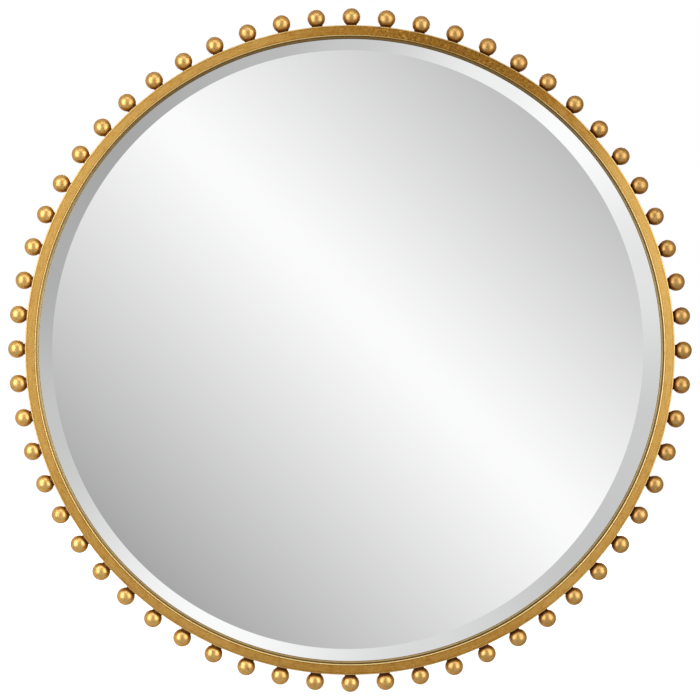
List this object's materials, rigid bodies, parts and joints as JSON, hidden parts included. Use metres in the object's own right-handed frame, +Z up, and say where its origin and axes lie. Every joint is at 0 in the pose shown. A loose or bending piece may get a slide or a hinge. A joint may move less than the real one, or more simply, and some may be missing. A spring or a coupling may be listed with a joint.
{
  "type": "round mirror",
  "caption": "Round wall mirror: a bevelled glass pane in a slim iron hoop ringed with welded balls in antiqued gold leaf, hung from swinging D-rings.",
  "frame": {"origin": "centre of the disc, on the plane of the wall that the bumpers rest against", "axes": "+X to the right seen from the front, +Y back into the wall, +Z up"},
  "size_m": [0.9642, 0.03, 0.9642],
  "materials": {
    "gold_face": "antiqued gold leaf over iron",
    "gold_hoop": "antiqued gold leaf over iron",
    "gold_lip": "olive toned gold leaf over iron",
    "gold_beads": "antiqued gold leaf with umber glaze",
    "mirror": "silvered, bevelled and polished",
    "foam": "closed-cell foam tape",
    "cork": "pressed cork",
    "board": "raw MDF",
    "back_iron": "bronze spray over iron",
    "zinc_strap": "zinc plated",
    "zinc_wire": "zinc plated",
    "screws": "zinc plated",
    "rubber": "matt black"
  },
  "bodies": {
    "mirror": {"face_ring": "gold_face", "outer_hoop": "gold_hoop", "glazing_lip": "gold_lip", "beads_01_oclock": "gold_beads", "beads_02_oclock": "gold_beads", "beads_03_oclock": "gold_beads", "beads_04_oclock": "gold_beads", "beads_05_oclock": "gold_beads", "beads_06_oclock": "gold_beads", "beads_07_oclock": "gold_beads", "beads_08_oclock": "gold_beads", "beads_09_oclock": "gold_beads", "beads_10_oclock": "gold_beads", "beads_11_oclock": "gold_beads", "beads_12_oclock": "gold_beads", "mirror_glass": "mirror", "glazing_tape": "foam", "mounting_tape_1": "foam", "mounting_tape_2": "foam", "mounting_tape_3": "foam", "mounting_tape_4": "foam", "mounting_tape_5": "foam", "edge_packer_1": "cork", "edge_packer_2": "cork", "edge_packer_3": "cork", "edge_packer_4": "cork", "edge_packer_5": "cork", "edge_packer_6": "cork", "backing_board": "board", "fixing_lug_1": "back_iron", "fixing_lug_2": "back_iron", "fixing_lug_3": "back_iron", "fixing_lug_4": "back_iron", "fixing_lug_5": "back_iron", "fixing_lug_6": "back_iron", "fixing_lug_7": "back_iron", "fixing_lug_8": "back_iron", "hanger_plate_left": "back_iron", "hanger_plate_right": "back_iron", "hanger_strap_left": "zinc_strap", "hanger_strap_right": "zinc_strap", "lug_screws": "screws", "hanger_screws": "screws", "wall_bumper_1": "rubber", "wall_bumper_2": "rubber", "wall_bumper_3": "rubber", "wall_bumper_4": "rubber"},
    "left_ring": {"hanger_ring_left": "zinc_wire"},
    "right_ring": {"hanger_ring_right": "zinc_wire"}
  },
  "joints": [
    {"name": "left_ring_swing", "type": "hinge", "parent": "mirror", "child": "left_ring", "pos_m": [-0.27, -0.00671, 0.32499], "axis": [1, 0, 0], "range_deg": [0, 175]},
    {"name": "right_ring_swing", "type": "hinge", "parent": "mirror", "child": "right_ring", "pos_m": [0.27, -0.00671, 0.32499], "axis": [1, 0, 0], "range_deg": [0, 175]}
  ]
}
